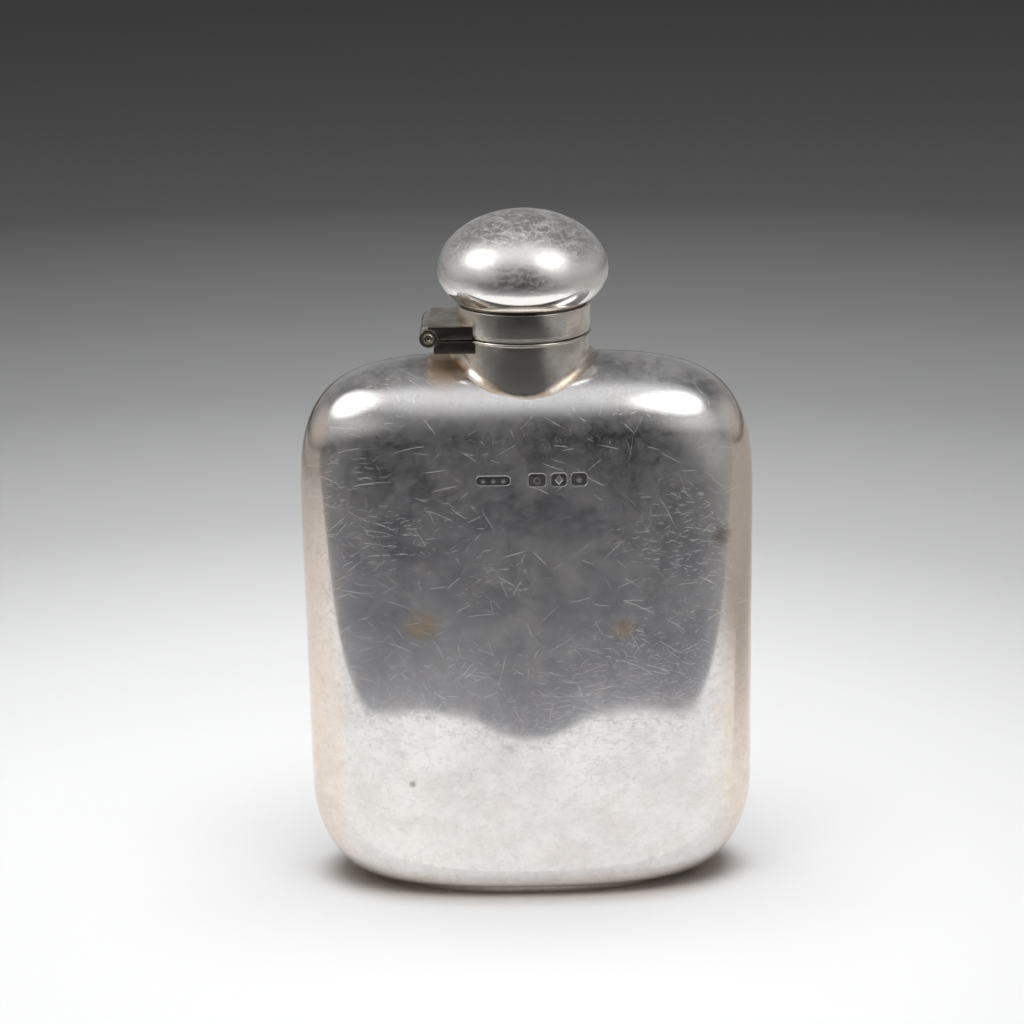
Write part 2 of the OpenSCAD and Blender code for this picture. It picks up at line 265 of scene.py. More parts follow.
def turned(name, profile, steps=160, edge=0.0):
    """A piece turned on a lathe: profile is a closed outline of (radius, height) in millimetres."""
    let_go()
    bpy.ops.mesh.primitive_circle_add(vertices=len(profile), radius=1 * MM)
    piece = named(name)
    for point, (r, z) in zip(piece.data.vertices, profile):
        point.co = (r * MM, 0, z * MM)
    if edge:
        modify(piece, "BEVEL", affect="VERTICES", width=edge * MM, segments=3, limit_method="ANGLE",
               angle_limit=math.radians(30))
    edit(piece)
    bpy.ops.mesh.spin(steps=steps, angle=2 * math.pi, center=(0, 0, 0), axis=(0, 0, 1))
    closed()
    bpy.ops.object.mode_set(mode="OBJECT")
    return smooth(piece, 35)


def finish(piece, material, body, slot, *nodes):
    piece.data.materials.clear()
    piece.data.materials.append(material)
    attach(piece, body)
    if nodes:
        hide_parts(*nodes)
    return piece


def corner(t, n):
    return max(0.0, 1 - abs(t) ** n) ** (1 / n)


def half_w(z, inset=0.0):
    up = (z - SHOULDER_H + TOP_CORNER) / (TOP_CORNER - inset)
    down = (FOOT_H + LOW_CORNER - z) / (LOW_CORNER - inset)
    side = BODY_W / 2 - inset
    if up > 0:
        return side * corner(up, 4)
    return BASE_W / 2 + (side - BASE_W / 2) * corner(max(down, 0), 2)


def half_d(z, inset=0.0):
    up = (z - SHOULDER_H + SHOULDER_ROLL) / (SHOULDER_ROLL - inset)
    down = (FOOT_H + BASE_ROLL - z) / (BASE_ROLL - inset)
    side = BODY_D / 2 - inset
    if up > 0:
        return side * corner(up, 2)
    return BASE_D / 2 + (side - BASE_D / 2) * corner(max(down, 0), 2)


def squared(t):
    return math.copysign(abs(t) ** 0.8, t)


def shoulder_at(x, y):
    """Height of the shoulder's outer face over a place on the plan."""
    low, high = SHOULDER_H - SHOULDER_ROLL, SHOULDER_H
    for _ in range(40):
        mid = (low + high) / 2
        inside = (abs(x) / max(half_w(mid), 1e-6)) ** 2.5 + (abs(y) / max(half_d(mid), 1e-6)) ** 2.5 < 1
        low, high = (mid, high) if inside else (low, mid)
    return low


# ---- camera, room and light ------------------------------------------------------------------------------

def stand_camera():
    data = bpy.data.cameras.new("camera")
    data.lens, data.sensor_width = 91.41, 36.0
    data.clip_start, data.clip_end = 0.01, 50.0
    camera = bpy.data.objects.new("camera", data)
    bpy.context.scene.collection.objects.link(camera)
    pan, pitch, roll = math.radians(-0.345), math.radians(-17.15), math.radians(1.112)
    ahead = Vector((math.sin(pan) * math.cos(pitch), math.cos(pan) * math.cos(pitch), math.sin(pitch)))
    right = ahead.cross(Vector((0, 0, 1))).normalized()
    top = right.cross(ahead)
    level, lean = math.cos(roll), math.sin(roll)
    right, top = right * level - top * lean, right * lean + top * level
    turn = Matrix((right, top, -ahead)).transposed().to_4x4()
    camera.matrix_world = Matrix.Translation((0, -0.4584, 0.2126)) @ turn
    bpy.context.scene.camera = camera


def glow(piece, look, share, colour, strength=1.0):
    """Makes a stage piece shine where share is 1 and stay clear where it is 0, for the silver alone to see."""
    shine = look.node("ShaderNodeEmission", {}, {"Color": colour, "Strength": strength})
    clear = look.node("ShaderNodeBsdfTransparent", {}, {})
    both = look.node("ShaderNodeMixShader", {}, {0: share, 1: clear.out(), 2: shine.out()})
    look.tree.links.new(both.out(), look.end.inputs["Surface"])
    piece.data.materials.append(look.material)
    piece.visible_camera = piece.visible_shadow = piece.visible_diffuse = False


def sheet(name, size, middle=(0, 0, 0)):
    """A flat stage sheet, lying level."""
    let_go()
    bpy.ops.mesh.primitive_grid_add(x_subdivisions=2, y_subdivisions=2, size=1.0)
    piece = named(name)
    edit(piece)
    bpy.ops.transform.resize(value=(size[0], size[1], 1))
    bpy.ops.transform.translate(value=middle)
    bpy.ops.object.mode_set(mode="OBJECT")
    return piece


def card(name, size, centre, facing, strength, core=0.15):
    """A glowing studio card, fading from its middle to its edges."""
    piece = sheet(name, size)
    away = Vector(centre) - Vector(facing)
    piece.rotation_euler = away.to_track_quat("Z", "Y").to_euler()
    piece.location = centre
    look = Finish(name + "_glow")
    x, y, z = look.xyz()
    across, along = x / (size[0] / 2), y / (size[1] / 2)
    share = ((across * across + along * along) ** 0.5).rise(1.0, core)
    glow(piece, look, share, (1, 1, 1, 1), strength)


def lay_floor():
    let_go()
    bpy.ops.mesh.primitive_circle_add(vertices=128, radius=6.0, fill_type="NGON", location=(0, 0, -0.0001))
    floor = named("floor")
    look = Finish("floor_paper_painted_light_and_shade")
    x, y, z = look.xyz()
    # Painted light: the floor's colour is palest round a spot just left of and in front of the flask and
    # darkens with distance from it, a painted falloff of the light.
    light_pool_x, light_pool_y = -0.035, -0.03
    x, y = x - light_pool_x, y - light_pool_y
    far = (x * x + y * y) ** 0.5
    shade = look.node("ShaderNodeValToRGB", {"stops": [
        (at, (level,) * 3) for at, level in (
            (0.0, 0.95), (0.10, 0.95), (0.16, 0.86), (0.21, 0.72), (0.26, 0.56), (0.30, 0.50), (0.35, 0.42),
            (0.40, 0.335), (0.53, 0.235), (0.74, 0.124), (1.0, 0.112))]}, {"Fac": far})
    # Painted contact shadow: an ambient occlusion mask tints the floor's colour brownish grey close round the
    # flask's foot.
    painted_contact_shadow = look.node("ShaderNodeAmbientOcclusion", {"samples": 12}, {"Distance": 0.009}).value("AO")
    look.surface(look.blend(painted_contact_shadow.rise(0.85, 0.35), shade.out(), rgb(206, 196, 188)), 0.9, metallic=0.0)
    look.tree.nodes["Principled BSDF"].inputs["Specular IOR Level"].default_value = 0.0
    floor.data.materials.append(look.material)


def light_room():
    """The room's own light: dark low down in front, bright overhead, grey behind."""
    world = bpy.data.worlds.new("room")
    world.use_nodes = True
    bpy.context.scene.world = world
    tree = world.node_tree
    tree.nodes.clear()
    out = tree.nodes.new("ShaderNodeOutputWorld")
    ground = tree.nodes.new("ShaderNodeBackground")
    place = tree.nodes.new("ShaderNodeTexCoord")
    parts = tree.nodes.new("ShaderNodeSeparateXYZ")
    tree.links.new(place.outputs["Generated"], parts.inputs[0])
    height, depth = parts.outputs[2], parts.outputs[1]

    def fade(stops):
        ramp = tree.nodes.new("ShaderNodeValToRGB")
        while len(ramp.color_ramp.elements) < len(stops):
            ramp.color_ramp.elements.new(0.5)
        for stop, (at, level) in zip(ramp.color_ramp.elements, stops):
            stop.position, stop.color = at, (level * 0.98, level * 0.99, level * 1.02, 1)
        tree.links.new(height, ramp.inputs[0])
        return ramp.outputs[0]
    front = fade([(0.0, 0.03), (0.10, 0.034), (0.2, 0.048), (0.34, 0.07), (0.5, 0.13), (0.6, 0.24),
                  (0.7, 0.42), (0.8, 0.62), (0.88, 0.78), (1.0, 0.76)])
    back = fade([(0.0, 0.26), (0.25, 0.20), (0.5, 0.15), (0.77, 0.13), (0.94, 0.17), (1.0, 0.32)])
    behind = tree.nodes.new("ShaderNodeMapRange")
    behind.interpolation_type = "SMOOTHSTEP"
    behind.inputs["From Min"].default_value, behind.inputs["From Max"].default_value = -0.25, 0.10
    tree.links.new(depth, behind.inputs["Value"])
    both = tree.nodes.new("ShaderNodeMix")
    both.data_type = "RGBA"
    tree.links.new(behind.outputs[0], both.inputs[0])
    tree.links.new(front, both.inputs[6])
    tree.links.new(back, both.inputs[7])
    tree.links.new(both.outputs[2], ground.inputs["Color"])
    tree.links.new(ground.outputs[0], out.inputs["Surface"])


def hang_lights():
    """Two softboxes, the paler sheets below and beside them, and a lamp overhead."""
    card("left_softbox", (0.95, 0.9), (-0.72, -0.15, 0.76), (0, 0, 0.1), 3.8, core=0.0)
    card("right_softbox", (0.78, 0.85), (0.55, -0.46, 0.78), (0, 0, 0.1), 4.0, core=0.0)
    card("left_skirt", (1.3, 1.1), (-0.85, -0.62, 0.45), (0, 0, 0.1), 0.5)
    card("right_skirt", (1.2, 1.2), (0.78, -0.62, 0.42), (0, 0, 0.1), 0.6)
    card("left_wall", (2.2, 1.3), (-1.2, 0.1, 0.30), (0, 0, 0.15), 0.45)
    card("right_wall", (2.2, 1.3), (1.2, 0.1, 0.30), (0, 0, 0.15), 0.42)
    data = bpy.data.lights.new("overhead", "AREA")
    data.shape, data.size, data.size_y, data.energy = "RECTANGLE", 0.9, 0.8, 10.8
    lamp = bpy.data.objects.new("overhead", data)
    bpy.context.scene.collection.objects.link(lamp)
    lamp.location = (0.0, -0.05, 1.1)
    lamp.visible_glossy = False


def shade_table():
    """Glowing sheets seen only in the silver's reflections, a painted reflection of the table: white round the
    flask, dark past its front edge, grey at the sides.
    """
    dark = sheet("dark_front", (2.6, 5.8), (0.1, -2.92, 0.0006))
    look = Finish("dark_front_shade")
    x, y, z = look.xyz()
    swell = abs(x).rise(0.026, 0.001) * 0.012
    wings = abs(x + 0.002).rise(0.040, 0.095) * 0.021
    reach = y * -1.0 - 0.1045 + swell + wings
    levels_out = ((0.0, 0.30), (0.02, 0.25), (0.035, 0.20), (0.065, 0.155), (0.095, 0.125), (0.135, 0.092),
                  (0.2, 0.055), (0.3, 0.038), (0.5, 0.028), (1.0, 0.024))
    stops = [(at, (each * 0.97, each * 0.98, each * 1.05)) for at, each in levels_out]
    shade = look.node("ShaderNodeValToRGB", {"stops": stops}, {"Fac": reach}).out()
    left = x.rise(-0.22, -0.45) * reach.rise(0.5, 0.0)
    right = (x / (y * -1.0)).rise(0.2, 1.3) * x.rise(0.15, 0.4)
    past_edge = reach.rise(-0.001, 0.001)
    shade = look.blend(right, look.blend(left, shade, (0.2, 0.2, 0.2, 1)), (0.32, 0.32, 0.32, 1))
    # Painted reflection: between the flask and the table's front edge the sheet glows near white, a stand-in
    # for the lit table, so the floor's contact shadow does not show in the silver.
    shade = look.blend(past_edge, (0.97, 0.97, 0.97, 1), shade)
    share = (past_edge * x.rise(-0.70, -0.42) * x.rise(1.3, 1.0)).most(abs(x).rise(0.2, 0.1))
    glow(dark, look, share, shade)

    # Painted reflections: grey glowing sheets at the sides, seen only by the silver.
    for name, side, level, near_edge in (("grey_right", 1, 0.40, 0.08), ("grey_left", -1, 0.36, 0.34)):
        grey = sheet(name, (0.8, 0.9), (side * 0.46, 0.33, 0.0004))
        look = Finish(name + "_shade")
        x, y, z = look.xyz()
        share = (x * side).rise(near_edge, near_edge + 0.12)
        glow(grey, look, share, (level, level * 0.98, level * 0.95, 1))


# ---- finishes --------------------------------------------------------------------------------------------

def near(x, z, at, size):
    """1 at a place on the flask's face, given in millimetres, falling to 0 at a distance."""
    dx, dz = x - at[0] * MM, z - at[1] * MM
    return ((dx * dx + dz * dz) ** 0.5).rise(size * MM, size * 0.2 * MM)


def punch_marks(look):
    """A row of four small plain punches: an oblong with three beads, and three cut-cornered squares."""
    x, y, z = look.xyz()
    front = y < -12 * MM
    pressed, raised = None, None
    row = 81.6 * MM
    punches = ((-5.9, 3.1, "beads"), (1.9, 1.65, "ring"), (5.8, 1.5, "lozenge"), (9.4, 1.5, "bead"))
    for middle, half, motif in punches:
        dx, dz = abs(x - middle * MM), abs(z - row)
        tall = (0.95 if motif == "beads" else 1.3)
        cut = (dx + dz).rise((half + tall - 0.5) * MM, (half + tall - 0.65) * MM)
        box = dx.rise(half * MM, (half - 0.14) * MM) * dz.rise(tall * MM, (tall - 0.14) * MM) * cut
        if motif == "beads":
            motif_height = None
            for offset in (-1.8, 0.0, 1.8):
                bead = near(x, z, (middle + offset, 81.6), 0.62)
                motif_height = bead if motif_height is None else motif_height.most(bead)
        elif motif == "ring":
            motif_height = near(x, z, (middle, 81.6), 0.95) - near(x, z, (middle, 81.6), 0.62)
        elif motif == "lozenge":
            motif_height = (dx + dz * 0.8).rise(0.85 * MM, 0.6 * MM)
        else:
            motif_height = near(x, z, (middle, 81.6), 0.8)
        pressed = box if pressed is None else pressed.most(box)
        raised = motif_height if raised is None else raised.most(motif_height)
    return pressed * front, raised * front


def aged_silver(name, marked):
    """Polished sheet silver with cloudy tarnish, hairlines, handling scratches and a few stains."""
    look = Finish(name)
    x, y, z = look.xyz()
    cloud = look.noise(38, 4, 0.6, offset=(0.3, 0.1, 0.2), warp=0.4)
    bloom = look.noise(150, 5, 0.7, offset=(1.3, 0.4, 0.9))
    fleck = look.noise(700, 4, 0.75)
    crowd = look.noise(60, 2, 0.5, offset=(5, 2, 8))
    side = near(x, z, (28, 70), 15).most(near(x, z, (-25, 71), 11)).most(near(x, z, (16, 40), 20) * 0.8).most(
        near(x, z, (-30, 82), 9) * 0.8)
    thick = (crowd.rise(0.42, 0.62) * 0.6 + side * 0.6 + 0.3).clamp()
    level = look.scratches(2.3 * MM, 3.0 * MM, 0.030 * MM, 0.9, 3, along=(-0.25, 0.5)).most(
        look.scratches(1.8 * MM, 2.2 * MM, 0.026 * MM, 0.8, 5, along=(-0.35, 0.7)))
    slant = look.scratches(6.0 * MM, 8.5 * MM, 0.028 * MM, 0.9, 11).most(
        look.scratches(4.2 * MM, 5.5 * MM, 0.026 * MM, 0.9, 13))
    short = look.scratches(2.0 * MM, 2.4 * MM, 0.028 * MM, 0.8, 19)
    hair = look.scratches(1.2 * MM, 1.5 * MM, 0.022 * MM, 0.8, 29)
    marks = (level * side).most(slant * (crowd.rise(0.35, 0.5) * 0.5 + 0.5))
    marks = marks.most(short * thick).most(hair * 0.7 * thick)
    dull = (cloud.rise(0.40, 0.66) * 0.6 + bloom.rise(0.42, 0.68) * 0.4)
    colour = look.blend(dull * 0.6, rgb(241, 239, 237), rgb(212, 209, 210))
    colour = look.blend(fleck.rise(0.52, 0.70) * 0.2, colour, rgb(186, 184, 186))
    front = y < -6 * MM
    stain = near(x, z, (-19.5, 54), 4.5).most(near(x, z, (17, 53), 3.0) * 0.8) * bloom.rise(0.35, 0.6) * front
    colour = look.blend(stain * 0.75, colour, rgb(226, 196, 150))
    singe = near(x, z, (-14.6, 100.4), 4.5) * bloom.rise(0.2, 0.5)
    if marked:
        colour = look.blend(singe * 0.6, colour, rgb(186, 146, 96))
    blot = (near(x, z, (35.4, 69), 2.6) + near(x, z, (-22, 23), 0.9)) * bloom.rise(0.3, 0.55) * front
    colour = look.blend(blot.clamp() * 0.75, colour, rgb(96, 84, 78))
    low_haze = z.rise(34 * MM, 24 * MM) * 0.03
    warm = abs(x).rise(32 * MM, 40 * MM) * 0.85 + bloom.rise(0.45, 0.6) * 0.12
    colour = look.blend(warm, colour, rgb(234, 218, 204))
    # Painted shade: the lower body's colour is tinted a little darker and warmer.
    colour = look.blend(z.rise(40 * MM, 20 * MM) * 0.2, colour, rgb(230, 222, 212))
    bright = look.blend(marks * 0.3, colour, rgb(250, 246, 240))
    upper = z.rise(84 * MM, 96 * MM)
    bend = z.rise(83 * MM, 88.5 * MM) * z.rise(93 * MM, 89.5 * MM)
    rough = (0.055 + dull * 0.055 + fleck.rise(0.5, 0.75) * 0.10 + marks * 0.12 + stain * 0.12 + low_haze
             + upper * 0.035 + singe * 0.30 + bend * 0.10)
    height = fleck * 0.025 - marks * 0.4
    if marked:
        pressed, raised = punch_marks(look)
        height = height * (1 - pressed) - pressed * 3.0 + raised * pressed * 2.0
        bright = look.blend(pressed * (1 - raised) * 0.65, bright, rgb(92, 86, 82))
    patch = look.noise(85, 5, 0.62, offset=(7, 3, 1), warp=0.8)
    haze = near(x, z, (-17, 45), 17) * 0.35
    film = (patch.rise(0.42, 0.60) * 0.5 + bloom.rise(0.44, 0.62) * 0.35 + (fleck - 0.5) * 1.8 + haze + singe
            + 0.1).clamp()
    return look.surface(bright, rough, metallic=1 - film * 0.20, bump=height, depth=0.03 * MM)


def turned_silver():
    """Silver left from the lathe: fine rings and light tarnish."""
    look = Finish("turned_silver")
    rings = look.noise(260, 3, 0.7, stretch=(0.06, 0.06, 14))
    cloud = look.noise(130, 4, 0.6, offset=(2, 1, 0))
    fleck = look.noise(900, 4, 0.75, offset=(4, 4, 1))
    colour = look.blend(cloud.rise(0.4, 0.65) * 0.6, rgb(240, 233, 224), rgb(190, 180, 170))
    colour = look.blend(fleck.rise(0.5, 0.68) * 0.3, colour, rgb(150, 142, 136))
    rough = 0.08 + cloud * 0.10 + rings * 0.08 + fleck * 0.06
    metallic = 1 - cloud.rise(0.35, 0.65) * 0.14 - fleck.rise(0.5, 0.7) * 0.06
    return look.surface(colour, rough, metallic=metallic, bump=rings, depth=0.01 * MM)


def solder():
    """Soft, slightly rough silver solder."""
    look = Finish("solder")
    lump = look.noise(500, 4, 0.6)
    cloud = look.noise(190, 3, 0.6, offset=(1, 5, 2))
    colour = look.blend(cloud.rise(0.4, 0.62), rgb(248, 240, 228), rgb(214, 196, 176))
    return look.surface(colour, 0.24 + cloud * 0.16, bump=lump, depth=0.10 * MM)


def cap_silver():
    """The cap's silver: the crown clouded by many fine swirling marks, the underside still bright."""
    look = Finish("cap_silver")
    x, y, z = look.xyz()
    crown = z.rise(114.3 * MM, 115.3 * MM)
    swirl = look.noise(330, 5, 0.78, warp=3.0)
    stroke = look.noise(200, 3, 0.7, stretch=(1, 1, 4.5), warp=1.6, offset=(2, 9, 4))
    cloud = look.noise(110, 4, 0.6, offset=(4, 2, 1))
    marks = look.scratches(2.0 * MM, 2.6 * MM, 0.04 * MM, 0.8, 5).most(
        look.scratches(1.4 * MM, 1.8 * MM, 0.03 * MM, 0.8, 17)) * crown
    fine = (swirl.rise(0.47, 0.60) * 0.6 + stroke.rise(0.48, 0.62) * 0.6).clamp() * crown
    colour = look.blend(fine * 0.3, rgb(254, 251, 247), rgb(206, 202, 200))
    colour = look.blend(cloud.rise(0.5, 0.7) * 0.2 * crown, colour, rgb(206, 200, 192))
    rough = 0.05 + crown * 0.19 + crown * cloud * 0.12 + fine * 0.14 + marks * 0.12
    return look.surface(colour, rough, metallic=1 - fine * 0.22 - crown * 0.03,
                        bump=swirl * 0.3 * crown + stroke * 0.5 * crown - marks * 0.6, depth=0.02 * MM)


def hinge_silver():
    """Silver of the hinge blocks, their front faces painted dark: a painted reflection of the dark room in
    front.
    """
    look = Finish("hinge_silver")
    cloud = look.noise(300, 4, 0.6)
    x, y, z = look.xyz()
    # Painted reflection: the leaves' front faces are coloured dark brown, standing in for the dark room that
    # they reflect.
    face = y.rise(-7.6 * MM, -7.95 * MM)
    colour = look.blend(cloud.rise(0.38, 0.64), rgb(242, 232, 218), rgb(200, 186, 168))
    colour = look.blend(face * 0.8, colour, rgb(98, 86, 78))
    return look.surface(colour, 0.22 + cloud * 0.14, bump=cloud, depth=0.02 * MM)


def knuckle_silver():
    """Silver of the knuckles and the pin, polished by handling."""
    look = Finish("knuckle_silver")
    cloud = look.noise(420, 4, 0.6, offset=(2, 2, 6))
    colour = look.blend(cloud.rise(0.4, 0.62) * 0.7, rgb(238, 230, 216), rgb(172, 156, 134))
    return look.surface(colour, 0.12 + cloud * 0.12, bump=cloud, depth=0.015 * MM)


def gilt():
    """Thin gilding over silver."""
    look = Finish("gilt")
    rings = look.noise(240, 3, 0.7, stretch=(0.08, 0.08, 12))
    cloud = look.noise(170, 4, 0.6)
    colour = look.blend(cloud.rise(0.4, 0.66), rgb(232, 188, 104), rgb(196, 142, 72))
    return look.surface(colour, 0.18 + rings * 0.14, bump=rings, depth=0.01 * MM)


def cork():
    """Cork disc: pores and darker flecks."""
    look = Finish("cork")
    cell = look.node("ShaderNodeTexVoronoi", {"feature": "F1"}, {"Vector": look.place, "Scale": 1400.0})
    grain = look.noise(700, 4, 0.6)
    pores = look.noise(420, 3, 0.7, offset=(3, 3, 3)).rise(0.56, 0.66)
    colour = look.blend(grain.rise(0.35, 0.65), rgb(176, 132, 86), rgb(205, 163, 114))
    colour = look.blend(pores, colour, rgb(92, 60, 36))
    height = cell.value("Distance") * 0.5 - pores
    return look.surface(colour, 0.8, metallic=0.0, bump=height, depth=0.1 * MM)


# ---- the flask's body ------------------------------------------------------------------------------------

def levels():
    """Heights of the rings that the body is raised through, from the base to the crown."""
    up = [SHOULDER_H - TOP_CORNER * (1 - math.sin(math.radians(t)) ** 0.5) for t in range(2, 90, 2)]
    side = [FOOT_H + LOW_CORNER + (up[0] - FOOT_H - LOW_CORNER) * i / 14 for i in range(14)]
    low = [FOOT_H + LOW_CORNER * (1 - math.cos(math.radians(t))) for t in range(0, 90, 5)]
    return low + side + up


def raise_body():
    """The pillow-shaped body: an oval ring pulled up and scaled from height to height."""
    around = 224
    let_go()
    bpy.ops.mesh.primitive_circle_add(vertices=around, radius=1 * MM)
    body = named("body_form")
    heights = levels()
    for i, point in enumerate(body.data.vertices):
        turn = 2 * math.pi * i / around
        point.co = (squared(math.cos(turn)) * half_w(heights[0]) * MM,
                    squared(math.sin(turn)) * half_d(heights[0]) * MM, heights[0] * MM)
    edit(body)
    for here, above in zip(heights, heights[1:]):
        bpy.ops.mesh.extrude_region_move(TRANSFORM_OT_translate={"value": (0, 0, (above - here) * MM)})
        bpy.ops.transform.resize(value=(half_w(above) / half_w(here), half_d(above) / half_d(here), 1),
                                 center_override=(0, 0, above * MM))
    bpy.ops.mesh.edge_face_add()
    bpy.ops.object.mode_set(mode="OBJECT")
    return body


def body_halves(front_look, back_look):
    body = raise_body()
    for name, far_side in (("front_half", False), ("back_half", True)):
        hold(body)
        bpy.ops.object.duplicate()
        half = named(name)
        edit(half)
        closed()
        bpy.ops.mesh.bisect(plane_co=(0, 0, 0), plane_no=(0, 1, 0), clear_inner=far_side,
                            clear_outer=not far_side)
        bpy.ops.object.mode_set(mode="OBJECT")
        modify(half, "SOLIDIFY", thickness=SHEET * MM, offset=-1.0, use_even_offset=False)
        drill = cutter(NECK_HOLE, 80, 120)
        modify(half, "BOOLEAN", operation="DIFFERENCE", object=drill, solver="EXACT")
        bpy.data.objects.remove(drill)
        smooth(half, 40)
        finish(half, back_look if far_side else front_look, "flask", "body_silver",
               "back_shell" if far_side else "front_shell")
    bpy.data.objects.remove(body)


def cutter(radius, z0, z1):
    let_go()
    bpy.ops.mesh.primitive_cylinder_add(vertices=128, radius=radius * MM, depth=(z1 - z0) * MM,
                                        location=(0, 0, (z0 + z1) / 2 * MM))
    return settle(named("cutter"))


def oval_foot(material):
    """The rim the flask stands on: an oval ring, carried up its outline inset by inset."""
    around = 192
    profile = [(0.0, 0.25), (0.12, 0.0), (1.0, 0.0), (1.4, 0.4), (1.4, FOOT_H), (0.0, FOOT_H)]
    low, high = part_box("foot_rim")
    wide, deep = (high.x - low.x) / 2, (high.y - low.y) / 2
    let_go()
    bpy.ops.mesh.primitive_circle_add(vertices=around, radius=1 * MM)
    piece = named("foot_ring")
    first_inset, first_z = profile[0]
    for i, point in enumerate(piece.data.vertices):
        turn = 2 * math.pi * i / around
        point.co = (squared(math.cos(turn)) * (wide - first_inset * MM),
                    squared(math.sin(turn)) * (deep - first_inset * MM), first_z * MM)
    edit(piece)
    for (inset, z), (next_inset, next_z) in zip(profile, profile[1:]):
        bpy.ops.mesh.extrude_region_move(TRANSFORM_OT_translate={"value": (0, 0, (next_z - z) * MM)})
        bpy.ops.transform.resize(value=((wide - next_inset * MM) / (wide - inset * MM),
                                        (deep - next_inset * MM) / (deep - inset * MM), 1),
                                 center_override=(0, 0, next_z * MM))
    bpy.ops.mesh.select_all(action="SELECT")
    bpy.ops.mesh.select_non_manifold(extend=False)
    bpy.ops.mesh.bridge_edge_loops()
    closed()
    bpy.ops.object.mode_set(mode="OBJECT")
    smooth(piece, 35)
    finish(piece, material, "flask", "body_silver", "foot_rim")


# ---- neck, spout and collar ------------------------------------------------------------------------------

def neck_and_spout(silver, gold):
    inner = NECK_R - NECK_WALL
    tube = [(inner, 93.8), (NECK_R, 93.8), (NECK_R, NECK_TOP), (inner, NECK_TOP)]
    neck = turned("neck_tube", tube, edge=0.12)
    finish(neck, silver, "flask", "neck_silver", "neck_collar")
    wire = turned("neck_wire", [(NECK_R - 0.05, 104.95), (NECK_R + 0.2, 104.98), (12.1, 105.1), (12.15, 105.28),
                                (12.1, 105.46), (NECK_R + 0.2, 105.56), (NECK_R - 0.05, 105.59)], edge=0.04)
    finish(wire, silver, "flask", "neck_silver", "neck_bead")
    low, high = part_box("spout_deck")
    z0, z1 = low.z / MM, high.z / MM
    deck = turned("deck", [(SPOUT_R, z0), (inner, z0), (inner, z1), (SPOUT_R, z1)], edge=0.08)
    finish(deck, gold, "flask", "gilt_spout", "spout_deck")
    low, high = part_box("spout")
    z0, z1 = low.z / MM, high.z / MM
    spout = turned("spout_tube", [(SPOUT_BORE_R, z0), (SPOUT_R, z0), (SPOUT_R, z1 - 0.45), (7.15, z1 - 0.1),
                                  (6.95, z1), (6.75, z1 - 0.08), (SPOUT_BORE_R, z1 - 0.4)], edge=0.1)
    finish(spout, gold, "flask", "gilt_spout", "spout")


def solder_fillet(material):
    """Solder that runs round the saddle between neck and shoulder, hollow-faced and a little uneven."""
    around, across = 240, 7
    let_go()
    bpy.ops.mesh.primitive_circle_add(vertices=around, radius=NECK_R * MM)
    piece = named("solder_run")
    edit(piece)
    for _ in range(across):
        bpy.ops.mesh.extrude_region_move(TRANSFORM_OT_translate={"value": (0, 0, 0)})
    bpy.ops.object.mode_set(mode="OBJECT")
    for i, point in enumerate(piece.data.vertices):
        turn = 2 * math.pi * (i % around) / around
        row = i // around
        uneven = 0.10 * math.sin(5 * turn + 1) + 0.06 * math.sin(11 * turn)
        leg = 0.35 + 1.35 * abs(math.cos(turn)) ** 1.4 + uneven
        bend = math.radians(90 * row / (across - 1))
        out, rise = NECK_R + leg * (1 - math.cos(bend)), leg * (1 - math.sin(bend))
        if row == across:
            out, rise = NECK_R, 0
        x, y = out * math.cos(turn), out * math.sin(turn)
        point.co = (x * MM, y * MM, (shoulder_at(x, y) + rise + 0.02) * MM)
    edit(piece)
    bpy.ops.mesh.select_non_manifold(extend=False)
    bpy.ops.mesh.bridge_edge_loops()
    closed()
    bpy.ops.object.mode_set(mode="OBJECT")
    smooth(piece, 60)
    return finish(piece, material, "flask", "neck_silver", "neck_solder")


def lid_collar(material):
    r, z0, z1, bore = COLLAR_R, COLLAR_Z0, COLLAR_Z1, 11.3
    profile = [(bore, z0), (r - 0.36, z0), (r - 0.24, z0 + 0.07), (r - 0.24, z0 + 0.34),
               (r - 0.12, z0 + 0.40), (r - 0.12, z0 + 0.68), (r, z0 + 0.76), (r, z1 - 0.08), (r - 0.08, z1),
               (bore, z1)]
    ring = turned("collar_ring", profile, steps=192, edge=0.03)
    finish(ring, material, "collar", "collar_silver", "lid_collar")


# ---- cap -------------------------------------------------------------------------------------------------

def dome(material):
    """The cap in two shells: a domed crown, and an underside turned in to the sleeve."""
    wall, pole = 0.7, 0.001

    def arc(radius, rise, turns):
        return [(radius * math.cos(turn), DOME_Z + rise * math.sin(turn)) for turn in turns]
    up = [math.radians(a) for a in range(0, 90, 3)]
    down = [-math.asin((DOME_Z - CAP_Z) / DOME_DROP) * i / 12 for i in range(13)]
    crown = arc(DOME_R, DOME_RISE, up) + [(pole, DOME_Z + DOME_RISE), (pole, DOME_Z + DOME_RISE - wall)]
    crown += arc(DOME_R - wall, DOME_RISE - wall, reversed(up))
    finish(turned("dome_crown", crown, steps=192), material, "cap", "cap_silver", "dome_top")
    under = arc(DOME_R, DOME_DROP, down)
    low_r, sleeve_r = under[-1][0], 8.9
    under += [(low_r - 0.5, CAP_Z), (sleeve_r, CAP_Z), (sleeve_r, CAP_Z + wall), (low_r - 0.6, CAP_Z + wall)]
    under += arc(DOME_R - wall, DOME_DROP - wall, reversed(down[:11]))
    finish(turned("dome_base", under, steps=192), material, "cap", "cap_silver", "dome_underside")


# ---- hinge -----------------------------------------------------------------------------------------------

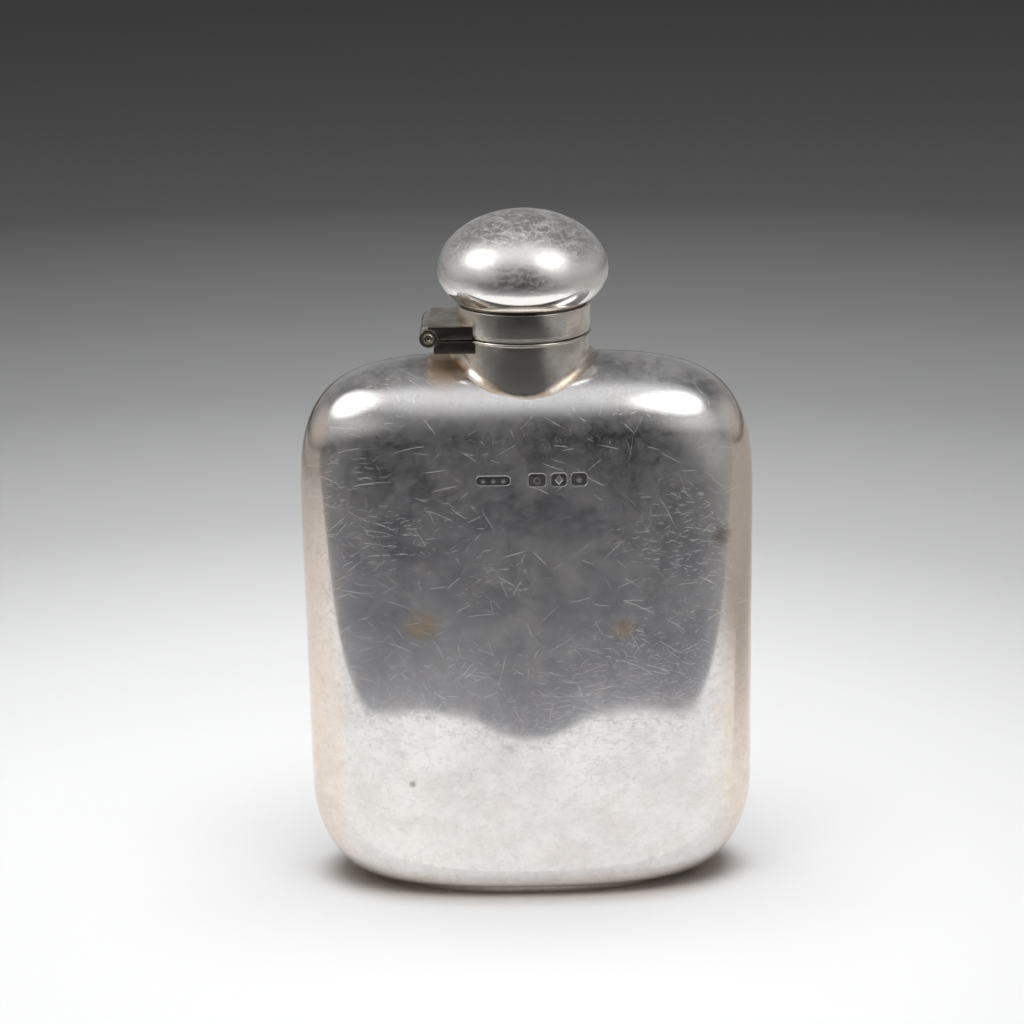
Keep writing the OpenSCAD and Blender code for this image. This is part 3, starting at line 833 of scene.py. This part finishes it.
def worn_copy(node, name, material, slot, edge):
    """A piece with the CAD node's own shape, its edges worn round by `edge` millimetres."""
    data = frame["nodes"][node].data.copy()
    piece = bpy.data.objects.new(name, data)
    bpy.context.scene.collection.objects.link(piece)
    data.name = name
    edit(piece)
    closed(0.000002)
    bpy.ops.mesh.select_all(action="SELECT")
    bpy.ops.mesh.dissolve_limited(angle_limit=math.radians(1.5))
    bpy.ops.object.mode_set(mode="OBJECT")
    modify(piece, "BEVEL", width=edge * MM, segments=3, limit_method="ANGLE", angle_limit=math.radians(40),
           use_clamp_overlap=True)
    smooth(piece, 32)
    body = frame["nodes"][node]["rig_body"]
    return finish(piece, material, body, slot, node)


def hinge(leaf_look, knuckle_look):
    """Two leaf blocks, five knuckles and the riveted pin."""
    worn_copy("hinge_lower_leaf", "lower_leaf", leaf_look, "hinge_silver", 0.14)
    worn_copy("hinge_upper_leaf", "upper_leaf", leaf_look, "hinge_silver", 0.16)
    pitch = (HINGE_LEN + 0.12) / 5
    length = pitch - 0.12
    for node, name, body, order in (("hinge_upper_knuckles", "lid_knuckles", "collar", (0, 2, 4)),
                                    ("hinge_lower_knuckles", "neck_knuckles", "flask", (1, 3))):
        tubes = []
        for place in order:
            start = place * pitch
            tube = turned("knuckle", [(PIN_R + 0.05, start), (KNUCKLE_R, start), (KNUCKLE_R, start + length),
                                      (PIN_R + 0.05, start + length)], steps=64, edge=0.06)
            tubes.append(tube)
        let_go()
        for tube in tubes:
            tube.select_set(True)
        bpy.context.view_layer.objects.active = tubes[0]
        bpy.ops.object.join()
        lay_along_hinge(named(name))
        finish(bpy.context.object, knuckle_look, body, "hinge_silver", node)
    rivet = [(0.001, 0.18), (0.28, 0.16), (0.42, 0.02), (0.6, 0.0), (0.78, 0.06), (PIN_R, 0.22)]
    pin = turned("pin", rivet + [(r, HINGE_LEN - z) for r, z in reversed(rivet)], steps=48)
    lay_along_hinge(pin)
    finish(pin, knuckle_look, "flask", "hinge_silver", "hinge_pin")


def lay_along_hinge(piece):
    """Turns a piece made upright to lie along the hinge line."""
    hold(piece)
    piece.rotation_euler = (math.radians(90), 0, 0)
    piece.location = (-PIN_X * MM, HINGE_LEN / 2 * MM, PIN_Z * MM)
    return settle(piece)


# ---- putting it together ---------------------------------------------------------------------------------

bpy.context.scene.view_settings.view_transform = "Standard"
stand_camera()
lay_floor()
light_room()
hang_lights()
shade_table()

front_silver, silver = aged_silver("front_silver", True), aged_silver("body_silver", False)
ring_silver, dome_silver, hinge_painted_dark = turned_silver(), cap_silver(), hinge_silver()
gold, cork_look = gilt(), cork()
body_halves(front_silver, silver)
oval_foot(silver)
neck_and_spout(ring_silver, gold)
solder_fillet(solder())
lid_collar(ring_silver)
dome(dome_silver)

hinge(hinge_painted_dark, knuckle_silver())
worn_copy("base_plate", "base_oval", silver, "body_silver", 0.15)
worn_copy("bayonet_studs", "studs", gold, "gilt_spout", 0.2)
worn_copy("collar_ledge", "ledge", ring_silver, "collar_silver", 0.08)
worn_copy("lock_sleeve", "sleeve", ring_silver, "cap_silver", 0.08)
worn_copy("retaining_ring", "retainer", ring_silver, "cap_silver", 0.08)
worn_copy("cork_plate", "cork_backing", ring_silver, "cap_silver", 0.08)
worn_copy("cork_disc", "cork_pad", cork_look, "cork", 0.25)
